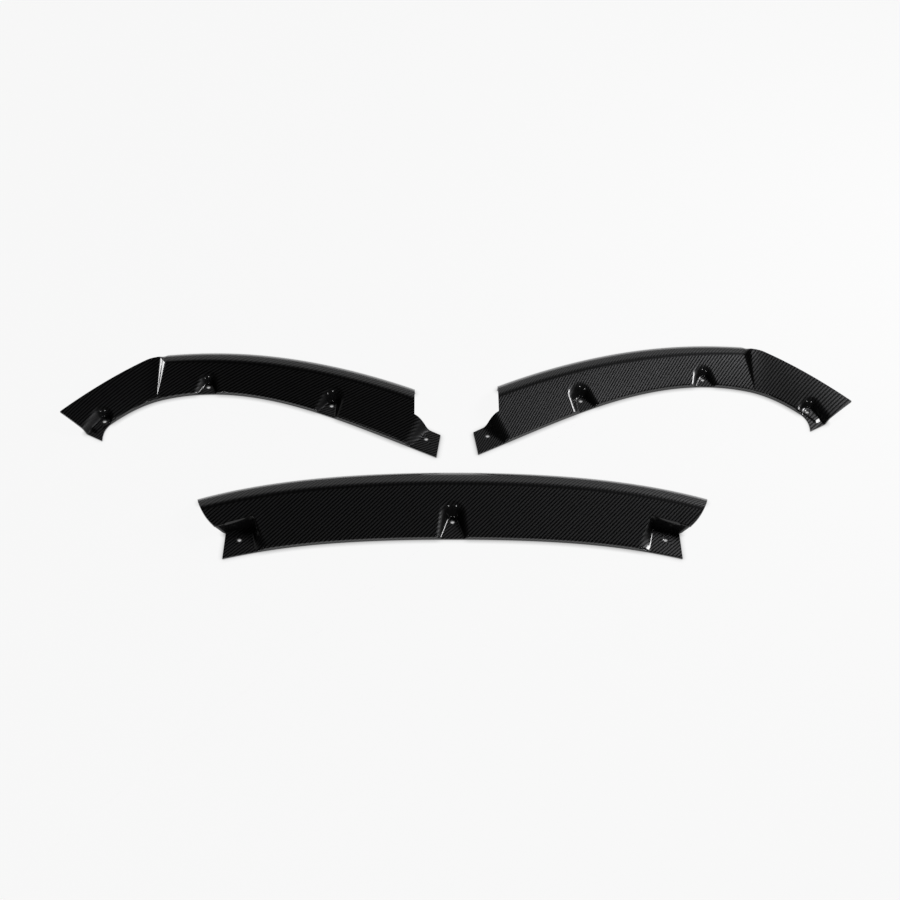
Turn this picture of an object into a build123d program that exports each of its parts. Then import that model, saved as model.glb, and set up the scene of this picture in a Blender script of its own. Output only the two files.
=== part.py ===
"""Three-piece front splitter lip in moulded carbon-fibre laminate, laid out underside up.

A centre section and two handed side sections lie apart on their mounting plane, z = 0.
+X runs across the car, +Y towards its front and +Z away from the mounting plane.
The origin is the centre section's middle screw hole, on the mounting plane.
Every section is a thin open shell: a turned-down rear edge, a rising plate, a rolled nose,
and pockets and tabs whose floors lie on the mounting plane and take the screws.
"""

import os

from build123d import *

from math import acos, atan2, ceil, cos, radians, sin, tan

# Laminate and cross-section
WALL = 3.0
REAR_EDGE_HEIGHT = 8.0
CREASE_TURN = radians(8)
SCREW_HOLE_DIAMETER = 6.6
POCKET_DRAFT = 33.0
TAB_DRAFT = 12.0
LOFT_SPAN = 72.0

# Centre section: plan ordinates are measured from the middle of its rear edge
CENTRE_LENGTH = 836.0
CENTRE_DEPTH = 89.0
CENTRE_HEIGHT = 32.0
CENTRE_NOSE_RADIUS = 38.0
CENTRE_REAR_BOW = 27.0
CENTRE_REAR_CURL = 22.0
CENTRE_CREASE_BOW = 35.0
CENTRE_CREASE_CURL = 14.0
BOW_SPAN = 400.0
CENTRE_HOLE_SETBACK = 33.5
CENTRE_POCKET_RADIUS = 9.0
CENTRE_POCKET_SPREAD = 17.5
CENTRE_POCKET_REACH = 50.0
CENTRE_TAB_HOLE_X = 346.0
CENTRE_TAB_HOLE_SETBACK = 30.0
CENTRE_TAB_TURN = -18.0
CENTRE_TAB_INBOARD = 27.0
CENTRE_TAB_FRONT = 20.0
CENTRE_TAB_OUTBOARD = 23.0
CENTRE_TAB_FLARE = 2.0
CENTRE_WING_OVERHANG = 17.0
CENTRE_WING_DEPTH = 66.0

# Side section: x runs outboard from the plate's inner end, y from the rear edge there
SIDE_NOSE_LENGTH = 430.0
SIDE_REAR_ORDINATES = (0.0, 71.3, 149.4, 107.1)
SIDE_CREASE_ORDINATES = (80.0, 149.9, 178.2, 172.5)
SIDE_INNER_HEIGHT = 32.0
SIDE_OUTER_HEIGHT = 22.2
SIDE_INNER_NOSE_RADIUS = 38.0
SIDE_OUTER_NOSE_RADIUS = 30.0
INNER_POCKET_HOLE = (142.0, 92.0)
INNER_POCKET_TURN = 23.0
INNER_POCKET_RADIUS = 8.5
INNER_POCKET_SPREAD = 18.5
INNER_POCKET_REACH = 36.0
OUTER_POCKET_HOLE = (355.0, 133.5)
OUTER_POCKET_TURN = 4.0
OUTER_POCKET_RADIUS = 7.0
OUTER_POCKET_SPREAD = 26.0
OUTER_POCKET_REACH = 28.0
SIDE_TAB_HOLE = (-20.0, 20.0)
SIDE_TAB_FOOT = (-23.0, 39.5)
SIDE_TAB_TURN = -49.5
SIDE_TAB_CORNER = (-44.0, 28.0)
SIDE_TAB_REAR = (-36.5, -24.0)
SIDE_TAB_DRAFT = 35.0
SIDE_SHOULDER_Y = 56.0

# End blade of a side section: x runs outboard from the riser's foot at the nose part's end
RISER_RUN = 11.0
BLADE_LENGTH = 169.0
BLADE_SHOULDER = (26.0, 175.3)
BLADE_SHOULDER_SLOPE = 0.18
BLADE_FRONT_SLOPE = 0.59
BLADE_FRONT_BOW = 0.00134
BLADE_END_CORNER = (135.0, 38.0)
BLADE_REAR_CURL = 0.004
BLADE_INNER_HEIGHT = 32.0
BLADE_TIP_HEIGHT = 24.0
BLADE_FRONT_LEAN = radians(15)
BLADE_FRONT_BULGE = 1.5
BLADE_TAPER_X = 136.0
BLADE_TIP_DEPTH = 4.0
EAR_TIP = (96.0, 17.0)
EAR_ROOT_X = 81.0
EAR_HOLLOW = 5.0
END_POCKET_HOLE = (96.0, 58.0)
END_POCKET_TURN = 0.0
END_POCKET_RADIUS = 9.0
END_POCKET_SPREAD = 5.5
END_POCKET_REACH = 52.0

# Places of the side sections' inner rear corners, from the middle screw hole
LEFT_PLACE = (-64.0, 153.0)
RIGHT_PLACE = (80.0, 160.0)
RIGHT_YAW = 1.5

# How far cutting and filling forms run past the surfaces they meet
PASS = 4.0
FAR = 60.0


def nose_profile(rear, crease, height, radius, inset, bottom):
    """Foot, rear edge, crease, mid-nose and nose end of one section, moved in by inset."""
    slope = atan2(height - REAR_EDGE_HEIGHT, crease - rear)
    start = CREASE_TURN - slope
    middle_y = crease - radius * sin(start)
    middle_z = height - radius * cos(start)
    arc_radius = radius - inset
    first = acos((radius * cos(CREASE_TURN) - inset) / arc_radius) - slope
    last = acos((bottom - middle_z) / arc_radius)

    def on_nose(angle):
        return middle_y + arc_radius * sin(angle), middle_z + arc_radius * cos(angle)

    rear_top = REAR_EDGE_HEIGHT + inset * tan(slope) - inset / cos(slope)
    return (
        (rear + inset, bottom),
        (rear + inset, rear_top),
        on_nose(first),
        on_nose((first + last) / 2),
        on_nose(last),
    )


def blade_profile(rear, front, height, inset, bottom):
    """The same five points for the flat blade, with a sharp front edge and a leaning front face."""
    slope = atan2(height - REAR_EDGE_HEIGHT, front - rear)
    up = Vector(-sin(slope), cos(slope))
    out = Vector(cos(BLADE_FRONT_LEAN), sin(BLADE_FRONT_LEAN))
    edge = Vector(front, height) - (up + out) * (inset / (1 + up.dot(out)))
    foot = Vector(edge.X + (edge.Y - bottom) * tan(BLADE_FRONT_LEAN), bottom)
    middle = (edge + foot) * 0.5 + out * BLADE_FRONT_BULGE
    rear_top = REAR_EDGE_HEIGHT + inset * tan(slope) - inset / cos(slope)
    return (
        (rear + inset, bottom),
        (rear + inset, rear_top),
        (edge.X, edge.Y),
        (middle.X, middle.Y),
        (foot.X, foot.Y),
    )


def section_face(points):
    """Closed face of one cross-section, drawn in the sketch that is open."""
    foot, rear_edge, crease, nose, nose_end = points
    with BuildLine() as outline:
        Polyline(foot, rear_edge, crease)
        ThreePointArc(crease, nose, nose_end)
        Line(nose_end, foot)
    make_face(outline.edges())


def cubic(ordinates, share):
    """Bernstein cubic through the first and last of four ordinates."""
    a, b, c, d = ordinates
    rest = 1 - share
    return a * rest**3 + 3 * b * share * rest**2 + 3 * c * share**2 * rest + d * share**3


def stations(start, end):
    """Evenly spaced places of cross-sections, no further apart than the loft's span."""
    spans = ceil((end - start) / LOFT_SPAN)
    return [start + (end - start) * step / spans for step in range(spans + 1)]


def centre_rear(x):
    bow = (x / BOW_SPAN) ** 2
    return -CENTRE_REAR_BOW * bow - CENTRE_REAR_CURL * bow**2


def centre_crease(x):
    bow = (x / BOW_SPAN) ** 2
    return CENTRE_DEPTH - CENTRE_CREASE_BOW * bow - CENTRE_CREASE_CURL * bow**2


def centre_plate(x, y):
    """Height of the centre section's plate over a point of its plan."""
    share = (y - centre_rear(x)) / (centre_crease(x) - centre_rear(x))
    return REAR_EDGE_HEIGHT + (CENTRE_HEIGHT - REAR_EDGE_HEIGHT) * share


def centre_form(inset, bottom):
    """Solid of the centre section's outside, or of its hollow when inset is the wall."""
    reach = CENTRE_LENGTH / 2 + PASS
    with BuildPart() as form:
        for x in stations(-reach, reach):
            with BuildSketch(Plane.YZ.offset(x)):
                section_face(
                    nose_profile(
                        centre_rear(x), centre_crease(x), CENTRE_HEIGHT, CENTRE_NOSE_RADIUS, inset, bottom
                    )
                )
        loft(ruled=True)
    return form.part


def side_nose_station(x, inset, bottom):
    share = x / SIDE_NOSE_LENGTH
    return nose_profile(
        cubic(SIDE_REAR_ORDINATES, share),
        cubic(SIDE_CREASE_ORDINATES, share),
        SIDE_INNER_HEIGHT + (SIDE_OUTER_HEIGHT - SIDE_INNER_HEIGHT) * share,
        SIDE_INNER_NOSE_RADIUS + (SIDE_OUTER_NOSE_RADIUS - SIDE_INNER_NOSE_RADIUS) * share,
        inset,
        bottom,
    )


def blade_rear(x):
    """Rear arch past the riser: it leaves the nose part's edge in line and curls inwards."""
    slope = 3 * (SIDE_REAR_ORDINATES[3] - SIDE_REAR_ORDINATES[2]) / SIDE_NOSE_LENGTH
    return SIDE_REAR_ORDINATES[3] + slope * x - BLADE_REAR_CURL * x**2


def blade_front(x):
    """Front edge past the riser: a short level shoulder, then an arch that falls away to the tip."""
    past = x - BLADE_SHOULDER[0]
    if past < 0:
        return BLADE_SHOULDER[1] - BLADE_SHOULDER_SLOPE * past
    return BLADE_SHOULDER[1] - BLADE_FRONT_SLOPE * past - BLADE_FRONT_BOW * past**2


def blade_station(x, inset, bottom):
    share = (x - RISER_RUN) / (BLADE_LENGTH - RISER_RUN)
    height = BLADE_INNER_HEIGHT + (BLADE_TIP_HEIGHT - BLADE_INNER_HEIGHT) * share
    return blade_profile(blade_rear(x), blade_front(x), height, inset, bottom)


def on_blade(point):
    """A point given from the riser's foot, in the side section's own plan."""
    return SIDE_NOSE_LENGTH + point[0], point[1]


def side_form(inset, bottom):
    """Solid of the side section's outside, or of its hollow: nose part, riser and blade."""
    with BuildPart() as form:
        for x in stations(SIDE_TAB_CORNER[0] - PASS, SIDE_NOSE_LENGTH):
            with BuildSketch(Plane.YZ.offset(x)):
                section_face(side_nose_station(x, inset, bottom))
        for x in [RISER_RUN] + stations(BLADE_SHOULDER[0], BLADE_LENGTH + 2 * PASS):
            with BuildSketch(Plane.YZ.offset(SIDE_NOSE_LENGTH + x)):
                section_face(blade_station(x, inset, bottom))
        loft(ruled=True)
    return form.part


def wall_growth(draft):
    """How far a drafted wall's outside lies from its inside, measured on the mounting plane."""
    return WALL * (1 - sin(radians(draft))) / cos(radians(draft))


def pocket_form(hole, turn, radius, spread, reach, grow, base):
    """Horseshoe round a screw: a cone in front, and flat walls that spread towards the open rear."""
    foot = radius + grow
    top = foot + FAR * tan(radians(POCKET_DRAFT))
    across, along = cos(radians(spread)), sin(radians(spread))
    with BuildPart() as form:
        with Locations(Location((*hole, base), (0, 0, turn))):
            Cone(foot, top, FAR, arc_size=180 - 2 * spread, rotation=(0, 0, spread), align=None)
        for rise, room in ((0, foot), (FAR, top)):
            rear = (room + reach * along) / across
            with BuildSketch(Plane(Location((*hole, base + rise), (0, 0, turn)))):
                with BuildLine():
                    Polyline(
                        (0, 0),
                        (room * across, room * along),
                        (rear, -reach),
                        (-rear, -reach),
                        (-room * across, room * along),
                        close=True,
                    )
                make_face()
        loft(ruled=True)
    return form.part


def tab_form(corner, turn, inboard, front, draft, grow, base):
    """Room over a flat tab: walls at the inboard side and the front, open to the end and the rear."""
    with BuildPart() as form:
        with BuildSketch(Plane(Location((*corner, base), (0, 0, turn)))):
            with Locations((-inboard - grow, front + grow)):
                Rectangle(2 * FAR, 2 * FAR, align=(Align.MIN, Align.MAX))
        extrude(amount=FAR, taper=-draft)
    return form.part


def shell(outside, hollow, recesses, webs, holes, trims, extras):
    """Hollow the outside, sink each recess into it with a floor and walls, drill it and trim it."""
    with BuildPart() as pads:
        for room, room_and_wall in recesses:
            add(room_and_wall)
        for web in webs:
            add(web)
        add(outside, mode=Mode.INTERSECT)
    with BuildPart() as section:
        add(outside)
        add(hollow, mode=Mode.SUBTRACT)
        add(pads.part)
        for extra in extras:
            add(extra)
        for room, room_and_wall in recesses:
            add(room, mode=Mode.SUBTRACT)
        with BuildSketch(Plane.XY):
            with Locations(*holes):
                Circle(SCREW_HOLE_DIAMETER / 2)
        extrude(amount=2 * WALL, both=True, mode=Mode.SUBTRACT)
        for trim in trims:
            add(trim, mode=Mode.SUBTRACT)
        split(bisect_by=Plane.XY, keep=Keep.TOP)
    return section.part


def pocket_pair(hole, turn, radius, spread, reach):
    sizes = (hole, turn, radius, spread, reach)
    return pocket_form(*sizes, 0, WALL), pocket_form(*sizes, wall_growth(POCKET_DRAFT), 0)


def tab_pair(corner, turn, inboard, front, draft):
    sizes = (corner, turn, inboard, front, draft)
    return tab_form(*sizes, 0, WALL), tab_form(*sizes, wall_growth(draft), 0)


# Centre section's pocket, tabs and ends
tab_hole_y = centre_rear(CENTRE_TAB_HOLE_X) + CENTRE_TAB_HOLE_SETBACK
centre_holes = [
    (0, CENTRE_HOLE_SETBACK),
    (CENTRE_TAB_HOLE_X, tab_hole_y),
    (-CENTRE_TAB_HOLE_X, tab_hole_y),
]
centre_pocket = pocket_pair(
    centre_holes[0], 0, CENTRE_POCKET_RADIUS, CENTRE_POCKET_SPREAD, CENTRE_POCKET_REACH
)
right_tab = tab_pair(
    centre_holes[1], CENTRE_TAB_TURN, CENTRE_TAB_INBOARD, CENTRE_TAB_FRONT, TAB_DRAFT
)
left_tab = tuple(room.mirror(Plane.YZ) for room in right_tab)

tab_turn = radians(CENTRE_TAB_TURN)
tab_edge_x = CENTRE_TAB_HOLE_X + CENTRE_TAB_OUTBOARD
notch_y = tab_hole_y + (CENTRE_TAB_FRONT + CENTRE_TAB_OUTBOARD * sin(tab_turn)) / cos(tab_turn)
wing_root = (tab_edge_x + CENTRE_WING_OVERHANG, notch_y)
wing_tip = (CENTRE_LENGTH / 2, notch_y + CENTRE_WING_DEPTH)
wing_rise = centre_plate(*wing_root)
web_foot = Vector(tab_edge_x, notch_y, WALL)
web_side = Vector(0, (wing_rise - WALL) * tan(radians(TAB_DRAFT)) / cos(tab_turn), wing_rise - WALL)
web_edge = Vector(CENTRE_WING_OVERHANG, 0, wing_rise - WALL)
web_plane = Plane(origin=web_foot, x_dir=web_edge, z_dir=web_edge.cross(web_side))
web_top = web_plane.to_local_coords(web_foot + web_side)
with BuildPart() as wing_web:
    with BuildSketch(web_plane):
        with BuildLine():
            Polyline(
                (0, 0),
                (web_edge.length, 0),
                (web_top.X, web_top.Y),
                close=True,
            )
        make_face()
    extrude(amount=-WALL)

with BuildPart() as centre_end:
    with BuildSketch(Plane.XY.offset(-2 * PASS)):
        with BuildLine():
            Polyline(
                (tab_edge_x + CENTRE_TAB_FLARE, tab_hole_y - CENTRE_TAB_HOLE_SETBACK),
                (tab_edge_x, notch_y),
                wing_root,
            )
            TangentArc(wing_tip, wing_root, tangent=(0, -1))
            Polyline(
                wing_tip,
                (wing_tip[0], 4 * FAR),
                (wing_tip[0] + FAR, 4 * FAR),
                (wing_tip[0] + FAR, -4 * FAR),
                (tab_edge_x + CENTRE_TAB_FLARE, -4 * FAR),
                (tab_edge_x + CENTRE_TAB_FLARE, tab_hole_y - CENTRE_TAB_HOLE_SETBACK),
            )
        make_face()
    extrude(amount=2 * FAR)

centre_shell = shell(
    centre_form(0, -PASS),
    centre_form(WALL, -2 * PASS),
    [centre_pocket, right_tab, left_tab],
    [wing_web.part, wing_web.part.mirror(Plane.YZ)],
    centre_holes,
    [centre_end.part, centre_end.part.mirror(Plane.YZ)],
    [],
)

# Side section's pockets, tab, ear and ends
inner_pocket = pocket_pair(
    INNER_POCKET_HOLE, INNER_POCKET_TURN, INNER_POCKET_RADIUS, INNER_POCKET_SPREAD, INNER_POCKET_REACH
)
outer_pocket = pocket_pair(
    OUTER_POCKET_HOLE, OUTER_POCKET_TURN, OUTER_POCKET_RADIUS, OUTER_POCKET_SPREAD, OUTER_POCKET_REACH
)
end_hole = on_blade(END_POCKET_HOLE)
end_pocket = pocket_pair(
    end_hole, END_POCKET_TURN, END_POCKET_RADIUS, END_POCKET_SPREAD, END_POCKET_REACH
)
side_tab = tab_pair(SIDE_TAB_FOOT, SIDE_TAB_TURN, FAR, 0, SIDE_TAB_DRAFT)

ear_root = on_blade((EAR_ROOT_X, blade_rear(EAR_ROOT_X) + WALL))
with BuildPart() as ear:
    with BuildSketch(Plane.XY):
        with BuildLine():
            SagittaArc(ear_root, on_blade(EAR_TIP), EAR_HOLLOW)
            Polyline(on_blade(EAR_TIP), on_blade(BLADE_END_CORNER), on_blade(END_POCKET_HOLE), ear_root)
        make_face()
    extrude(amount=WALL)

with BuildPart() as side_inner_end:
    with BuildSketch(Plane.XY.offset(-2 * PASS)):
        with BuildLine():
            Polyline(
                (0, 4 * FAR),
                (0, SIDE_SHOULDER_Y),
                SIDE_TAB_FOOT,
                SIDE_TAB_CORNER,
                SIDE_TAB_REAR,
                (SIDE_TAB_REAR[0], -2 * FAR),
                (SIDE_TAB_CORNER[0] - FAR, -2 * FAR),
                (SIDE_TAB_CORNER[0] - FAR, 4 * FAR),
                close=True,
            )
        make_face()
    extrude(amount=2 * FAR)

end_corner = Vector(*on_blade(BLADE_END_CORNER))
blade_tip = Vector(*on_blade((BLADE_LENGTH, blade_front(BLADE_LENGTH))))
past_tip = blade_tip + (blade_tip - end_corner).normalized() * FAR
with BuildPart() as side_outer_end:
    with BuildSketch(Plane.XY.offset(-2 * PASS)):
        with BuildLine():
            Polyline(
                (past_tip.X, past_tip.Y),
                (end_corner.X, end_corner.Y),
                on_blade(EAR_TIP),
                on_blade((EAR_TIP[0], -4 * FAR)),
                (past_tip.X + FAR, -4 * FAR),
                (past_tip.X + FAR, past_tip.Y),
                close=True,
            )
        make_face()
    extrude(amount=2 * FAR)

blade_foot = BLADE_TIP_HEIGHT - BLADE_TIP_DEPTH
with BuildPart() as side_taper:
    with BuildSketch(Plane.XZ):
        with BuildLine():
            Polyline(
                on_blade((BLADE_TAPER_X, -PASS)),
                on_blade((BLADE_TAPER_X, 0)),
                on_blade((BLADE_LENGTH, blade_foot)),
                on_blade((BLADE_LENGTH + FAR, blade_foot)),
                on_blade((BLADE_LENGTH + FAR, -PASS)),
                close=True,
            )
        make_face()
    extrude(amount=4 * FAR, both=True)

side_shell = shell(
    side_form(0, -PASS),
    side_form(WALL, -2 * PASS),
    [inner_pocket, outer_pocket, end_pocket, side_tab],
    [],
    [INNER_POCKET_HOLE, OUTER_POCKET_HOLE, end_hole, SIDE_TAB_HOLE],
    [side_inner_end.part, side_outer_end.part, side_taper.part],
    [ear.part],
)

# The three sections where they lie
with BuildPart() as centre_section:
    with Locations((0, -CENTRE_HOLE_SETBACK)):
        add(centre_shell)
with BuildPart() as right_section:
    with Locations(Location((*RIGHT_PLACE, 0), (0, 0, RIGHT_YAW))):
        add(side_shell)
with BuildPart() as left_section:
    with Locations(Location((*LEFT_PLACE, 0))):
        add(side_shell.mirror(Plane.YZ))

os.makedirs("parts", exist_ok=True)
centre_section.part.label = "centre_section"
export_step(centre_section.part, "parts/centre_section.step")
right_section.part.label = "right_section"
export_step(right_section.part, "parts/right_section.step")
left_section.part.label = "left_section"
export_step(left_section.part, "parts/left_section.step")
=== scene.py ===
"""Front splitter lip in clear-coated twill carbon: three moulded sections laid out underside up."""

import math

import bpy
import numpy as np
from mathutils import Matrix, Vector


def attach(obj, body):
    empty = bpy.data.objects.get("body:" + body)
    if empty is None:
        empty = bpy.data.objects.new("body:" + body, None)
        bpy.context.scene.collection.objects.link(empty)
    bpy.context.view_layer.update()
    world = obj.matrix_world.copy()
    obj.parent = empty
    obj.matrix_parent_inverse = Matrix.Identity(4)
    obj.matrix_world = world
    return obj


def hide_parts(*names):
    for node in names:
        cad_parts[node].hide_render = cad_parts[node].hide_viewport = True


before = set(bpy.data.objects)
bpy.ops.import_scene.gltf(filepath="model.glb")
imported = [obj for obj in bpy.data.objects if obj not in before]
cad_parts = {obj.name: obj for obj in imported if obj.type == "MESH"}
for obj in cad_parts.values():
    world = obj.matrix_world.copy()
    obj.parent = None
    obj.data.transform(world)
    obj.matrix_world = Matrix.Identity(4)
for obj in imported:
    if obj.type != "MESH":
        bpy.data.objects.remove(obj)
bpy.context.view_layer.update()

# Centre section
# The middle of the lip, one shell of woven carbon cloth and resin laid up in a mould and clear-coated.
# Its rear edge turns down, its plate rises to a crease and its nose rolls over to the ground plane.
# A horseshoe pocket and two end tabs are sunk to the mounting plane, where screws hold it to the bumper.
WALL = 3.0
EDGE_HEIGHT = 8.0
EDGE_ROUND, EDGE_ROUND_SHARE = 2.0, 0.45
INNER_EDGE_REACH = 12.0
CREASE_TURN = math.radians(8)
HOLE_RADIUS = 3.3
HOLE_CHAMFER = 0.5
POCKET_DRAFT = 33.0
TAB_DRAFT = 12.0
RIM_ROUND = 7.0
FOOT_ROUND = 2.5
SHARP_EDGE = math.radians(42)
TOW_WIDTH = 1.75
SLOPE_STRETCH = 1.035
# Painted shade on steep walls: the weave keeps a share of 1.4 less 1.2 for each unit of steepness, from 0 to
# 1.
UNSHADED_FLAT, WALL_SHADE_RATE = 1.4, 1.2
# Painted shade along the crease: a dark band full within 1.5 mm of a line 1.5 mm down the nose, gone 4 mm
# from it.
CREASE_SHADE_MIDDLE, CREASE_SHADE_REACH, CREASE_SHADE_FADE = 1.5, 4.0, 2.5

# Rows on the rear wall; the grid ring that becomes a hole's edge, the rings' spacing, and a number for
# no ring; how often a column is worked out again where its x and y hang on each other.
WALL_ROWS = 8
HOLE_RING, RING_STEP, NO_RING = 3, 1.2, 99
SETTLINGS = 6


def soft_least(a, b, width):
    """The lesser of two heights, rounded where they come within width of each other."""
    near = np.maximum(width - np.abs(a - b), 0.0) / width
    return np.minimum(a, b) - near**2 * width / 4


def eased(share):
    """A share from 0 to 1 with a level start and end: three times its square less twice its cube."""
    return share**2 * (3 - 2 * share)


def drafted_wall(away, draft, floor, foot):
    """Floor up to a distance of 0, then a wall that leans back by draft from a rounded foot."""
    wall = floor + away / math.tan(math.radians(draft))
    return -soft_least(np.full_like(wall, -floor), -wall, foot)


def wall_growth(draft):
    """How far a drafted wall's outside lies from its inside, measured on the mounting plane."""
    return WALL * (1 - math.sin(math.radians(draft))) / math.cos(math.radians(draft))


def turned(x, y, origin, turn):
    """Coordinates along and across a frame that stands at origin, turned by an angle in degrees."""
    c, s = math.cos(math.radians(turn)), math.sin(math.radians(turn))
    dx, dy = x - origin[0], y - origin[1]
    return dx * c + dy * s, dy * c - dx * s


def horseshoe(x, y, hole, turn, radius, spread):
    """Distance in plan from a pocket's foot: a circle in front, straight sides spread behind it."""
    across, along = turned(x, y, hole, turn)
    across = np.abs(across)
    c, s = math.cos(math.radians(spread)), math.sin(math.radians(spread))
    straight = across * s - along * c > 0
    return np.where(straight, across * c + along * s, np.hypot(across, along)) - radius


def steps(*runs):
    """Places along a line from (end, spacing) runs: each run divided evenly, its ends kept."""
    places = [np.array([float(runs[0])])]
    for end, spacing in runs[1:]:
        start = places[-1][-1]
        count = max(1, round(abs(end - start) / spacing))
        places.append(np.linspace(start, end, count + 1)[1:])
    return np.concatenate(places)


def nearest(x, y, hole):
    """Column and row of the grid point nearest a hole."""
    return np.unravel_index(np.argmin(np.hypot(x - hole[0], y - hole[1])), x.shape)


def punch(x, y, hole, place, reach=8, least=0.2):
    """Draw the grid's rings round a column and row out to circles round a hole, ring HOLE_RING to its edge.

    Ring q goes to the hole's radius plus q - HOLE_RING steps, and blends back to the grid at ring reach.
    Returns the ring number of every grid point.
    """
    column, row = place
    di, dj = np.meshgrid(np.arange(x.shape[0]) - column, np.arange(x.shape[1]) - row, indexing="ij")
    ring = np.maximum(np.abs(di), np.abs(dj))
    angle = np.arctan2(dj, di)
    radius = np.maximum(HOLE_RADIUS + (ring - HOLE_RING) * RING_STEP, least)
    keep = eased(np.clip((ring - HOLE_RING) / (reach - HOLE_RING), 0, 1))
    x[...] = (hole[0] + radius * np.cos(angle)) * (1 - keep) + x * keep
    y[...] = (hole[1] + radius * np.sin(angle)) * (1 - keep) + y * keep
    return ring


def grid_faces(count, cells):
    """Corner numbers of a grid's cells, column by column, for the cells that are kept."""
    number = np.arange(count[0] * count[1]).reshape(count)
    corners = (number[:-1, :-1], number[1:, :-1], number[1:, 1:], number[:-1, 1:])
    return np.stack(corners, axis=-1)[cells]


def shell_mesh(top, inside, cells, weave):
    """Closed laminate: the outer skin, the inner skin turned over, and a rim along every free edge.

    An edge is free where no neighbouring cell runs along it the other way; the rim joins it to its twin.
    """
    count = top.shape[:2]
    total = count[0] * count[1]
    outer = grid_faces(count, cells)
    a, b = outer.ravel(), np.roll(outer, -1, axis=1).ravel()
    free = ~np.isin(a * total + b, b * total + a)
    a, b = a[free], b[free]
    rim = np.stack((b, a, a + total, b + total), axis=-1)
    faces = np.concatenate((outer, outer[:, ::-1] + total, rim))
    points = np.concatenate((top.reshape(-1, 3), inside.reshape(-1, 3)))
    threads = np.tile(weave.reshape(-1, 3), (2, 1))
    used, faces = np.unique(faces, return_inverse=True)
    faces = faces.reshape(-1, 4)
    return points[used], faces, threads[used]


def place_shell(name, points, faces, threads):
    """Put a shell into the scene in metres; its threads become a UV map, and the third coordinate, which
    paints shade on the weave, a point attribute.
    """
    mesh = bpy.data.meshes.new(name)
    mesh.from_pydata((points / 1000).tolist(), [], faces.tolist())
    threads_map = mesh.uv_layers.new(name="threads")
    threads_map.data.foreach_set("uv", threads[faces.ravel(), :2].astype(np.float32).ravel())
    unshaded = mesh.attributes.new("unshaded", "FLOAT", "POINT")
    unshaded.data.foreach_set("value", threads[:, 2].astype(np.float32))
    mesh.polygons.foreach_set("use_smooth", np.ones(len(faces), bool))
    mesh.set_sharp_from_angle(angle=SHARP_EDGE)
    mesh.validate()
    mesh.update()
    piece = bpy.data.objects.new(name, mesh)
    bpy.context.scene.collection.objects.link(piece)
    return piece


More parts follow.
